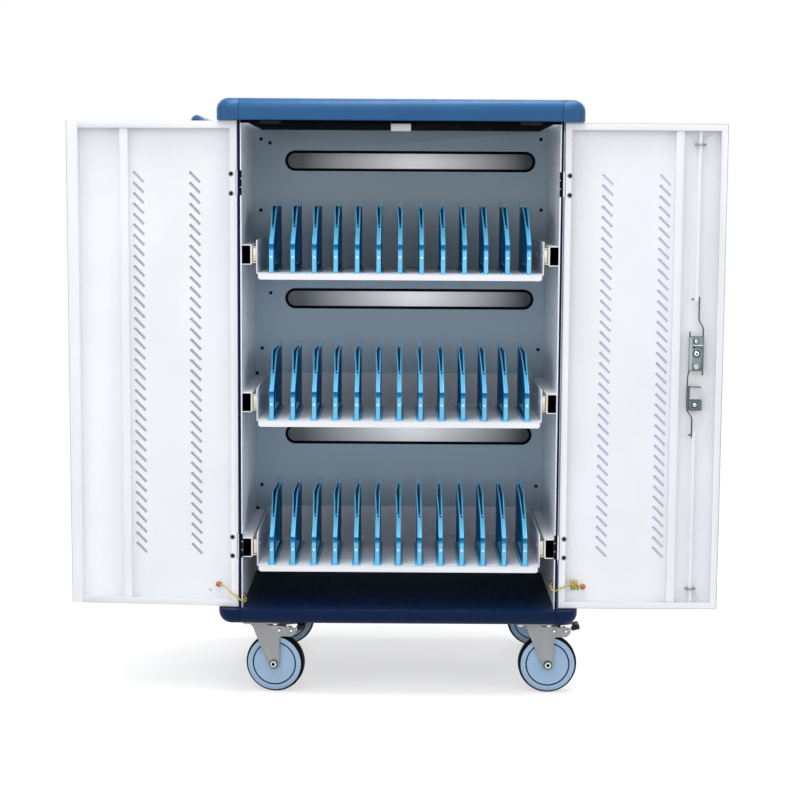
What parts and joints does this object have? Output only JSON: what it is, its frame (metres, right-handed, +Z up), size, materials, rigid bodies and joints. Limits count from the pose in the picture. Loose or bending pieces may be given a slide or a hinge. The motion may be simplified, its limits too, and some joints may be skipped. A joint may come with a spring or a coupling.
{
  "type": "laptop charging cart",
  "caption": "Upright steel charging cart on casters with perforated front doors, sliding trays of upright laptop bays, edged cable slots, a rear service door and a side push handle.",
  "frame": {"origin": "on the floor under the middle of the whole object's box, measured with the front doors open as stored", "axes": "+Z up; the front doors and trays face -Y; +X is to the right seen from the front"},
  "size_m": [1.0928, 0.43, 1.002],
  "materials": {
    "cap_blue": "moulded plastic, satin, mid blue",
    "handle_blue": "moulded plastic, satin, mid blue",
    "base_navy": "moulded plastic, satin, navy",
    "cabinet_paint": "powder coat, navy outside",
    "partition_paint": "powder coat, grey",
    "hinge_black": "black coated steel",
    "slot_rubber": "black rubber edging",
    "zinc": "zinc plated steel",
    "black_plastic": "black moulded plastic",
    "door_white": "powder coat, off-white",
    "tray_white": "powder coat, off-white; dividers in blue plastic",
    "slide_steel": "zinc plated steel",
    "caster_zinc": "bright zinc plated pressings",
    "caster_tyre": "grey moulded wheel with a black tread",
    "pedal_steel": "zinc plated lever with a rubber toe",
    "earth_wire": "green and yellow insulation"
  },
  "bodies": {
    "cabinet": {"top_cover": "cap_blue", "top_end_left": "cap_blue", "top_end_right": "cap_blue", "base_frame": "base_navy", "base_end_left": "base_navy", "base_end_right": "base_navy", "side_panel_left": "cabinet_paint", "side_panel_right": "cabinet_paint", "ceiling_panel": "cabinet_paint", "hinge_left_lower": "hinge_black", "hinge_left_upper": "hinge_black", "hinge_right_lower": "hinge_black", "hinge_right_upper": "hinge_black", "rear_partition": "partition_paint", "slot_edging_1": "slot_rubber", "slot_edging_2": "slot_rubber", "slot_edging_3": "slot_rubber", "door_catch": "zinc", "power_strip_1": "black_plastic", "power_strip_2": "black_plastic", "power_strip_3": "black_plastic", "power_inlet": "black_plastic", "push_handle": "handle_blue", "slide_1_left": "slide_steel", "slide_1_right": "slide_steel", "slide_2_left": "slide_steel", "slide_2_right": "slide_steel", "slide_3_left": "slide_steel", "slide_3_right": "slide_steel", "caster_plate_front_left": "caster_zinc", "caster_plate_front_right": "caster_zinc", "caster_plate_rear_left": "caster_zinc", "caster_plate_rear_right": "caster_zinc", "earth_wire_left": "earth_wire", "earth_wire_right": "earth_wire"},
    "left_door": {"door_left": "door_white"},
    "right_door": {"door_right": "door_white", "lock_plate": "zinc", "key_lock": "zinc"},
    "lock": {"lock_pinion": "zinc", "door_lever": "black_plastic"},
    "upper_rod": {"rod_upper": "zinc"},
    "lower_rod": {"rod_lower": "zinc"},
    "back_door": {"rear_door": "door_white"},
    "top_tray": {"tray_1": "tray_white"},
    "middle_tray": {"tray_2": "tray_white"},
    "bottom_tray": {"tray_3": "tray_white"},
    "front_left_fork": {"caster_fork_front_left": "caster_zinc"},
    "front_left_wheel": {"caster_wheel_front_left": "caster_tyre"},
    "front_left_pedal": {"brake_pedal_front_left": "pedal_steel"},
    "front_right_fork": {"caster_fork_front_right": "caster_zinc"},
    "front_right_wheel": {"caster_wheel_front_right": "caster_tyre"},
    "front_right_pedal": {"brake_pedal_front_right": "pedal_steel"},
    "rear_left_fork": {"caster_fork_rear_left": "caster_zinc"},
    "rear_left_wheel": {"caster_wheel_rear_left": "caster_tyre"},
    "rear_right_fork": {"caster_fork_rear_right": "caster_zinc"},
    "rear_right_wheel": {"caster_wheel_rear_right": "caster_tyre"}
  },
  "joints": [
    {"name": "left_door_hinge", "type": "hinge", "parent": "cabinet", "child": "left_door", "pos_m": [-0.26133, -0.19915, 0.8635], "axis": [0, 0, -1], "range_deg": [-185, 0], "deforming": ["earth_wire_left"]},
    {"name": "right_door_hinge", "type": "hinge", "parent": "cabinet", "child": "right_door", "pos_m": [0.27766, -0.19915, 0.8635], "axis": [0, 0, 1], "range_deg": [-180, 0], "deforming": ["earth_wire_right"]},
    {"name": "lock_turn", "type": "hinge", "parent": "right_door", "child": "lock", "pos_m": [0.50236, -0.192, 0.5856], "axis": [0, -1, 0], "range_deg": [0, 90]},
    {"name": "upper_rod_slide", "type": "slide", "parent": "right_door", "child": "upper_rod", "axis": [0, 0, 1], "range_m": [0, 0.015]},
    {"name": "lower_rod_slide", "type": "slide", "parent": "right_door", "child": "lower_rod", "axis": [0, 0, -1], "range_m": [0, 0.015]},
    {"name": "rear_door_hinge", "type": "hinge", "parent": "cabinet", "child": "back_door", "pos_m": [0.27766, 0.19915, 0.963], "axis": [0, 0, -1], "range_deg": [0, 110]},
    {"name": "top_tray_slide", "type": "slide", "parent": "cabinet", "child": "top_tray", "axis": [0, -1, 0], "range_m": [0, 0.21]},
    {"name": "middle_tray_slide", "type": "slide", "parent": "cabinet", "child": "middle_tray", "axis": [0, -1, 0], "range_m": [0, 0.21]},
    {"name": "bottom_tray_slide", "type": "slide", "parent": "cabinet", "child": "bottom_tray", "axis": [0, -1, 0], "range_m": [0, 0.21]},
    {"name": "front_left_swivel", "type": "hinge", "parent": "cabinet", "child": "front_left_fork", "pos_m": [-0.22423, -0.163, 0.1185], "axis": [0, 0, 1], "continuous": true},
    {"name": "front_left_roll", "type": "hinge", "parent": "front_left_fork", "child": "front_left_wheel", "pos_m": [-0.20086, -0.16628, 0.05], "axis": [0.1392, 0.9903, 0], "continuous": true},
    {"name": "front_left_brake", "type": "hinge", "parent": "front_left_fork", "child": "front_left_pedal", "pos_m": [-0.17413, -0.17004, 0.1131], "axis": [0.1392, 0.9903, 0], "range_deg": [0, 12]},
    {"name": "front_right_swivel", "type": "hinge", "parent": "cabinet", "child": "front_right_fork", "pos_m": [0.24057, -0.163, 0.1185], "axis": [0, 0, 1], "continuous": true},
    {"name": "front_right_roll", "type": "hinge", "parent": "front_right_fork", "child": "front_right_wheel", "pos_m": [0.26416, -0.163, 0.05], "axis": [0, 1, 0], "continuous": true},
    {"name": "front_right_brake", "type": "hinge", "parent": "front_right_fork", "child": "front_right_pedal", "pos_m": [0.29117, -0.163, 0.1131], "axis": [0, 1, 0], "range_deg": [0, 12]},
    {"name": "rear_left_swivel", "type": "hinge", "parent": "cabinet", "child": "rear_left_fork", "pos_m": [-0.22423, 0.163, 0.1185], "axis": [0, 0, 1], "continuous": true},
    {"name": "rear_left_roll", "type": "hinge", "parent": "rear_left_fork", "child": "rear_left_wheel", "pos_m": [-0.20064, 0.163, 0.05], "axis": [0, 1, 0], "continuous": true},
    {"name": "rear_right_swivel", "type": "hinge", "parent": "cabinet", "child": "rear_right_fork", "pos_m": [0.24057, 0.163, 0.1185], "axis": [0, 0, 1], "continuous": true},
    {"name": "rear_right_roll", "type": "hinge", "parent": "rear_right_fork", "child": "rear_right_wheel", "pos_m": [0.26416, 0.163, 0.05], "axis": [0, 1, 0], "continuous": true}
  ],
  "couplings": [
    {"joint": "upper_rod_slide", "follows": "lock_turn", "m_per_rad": 0.0095493},
    {"joint": "lower_rod_slide", "follows": "lock_turn", "m_per_rad": 0.0095493}
  ]
}
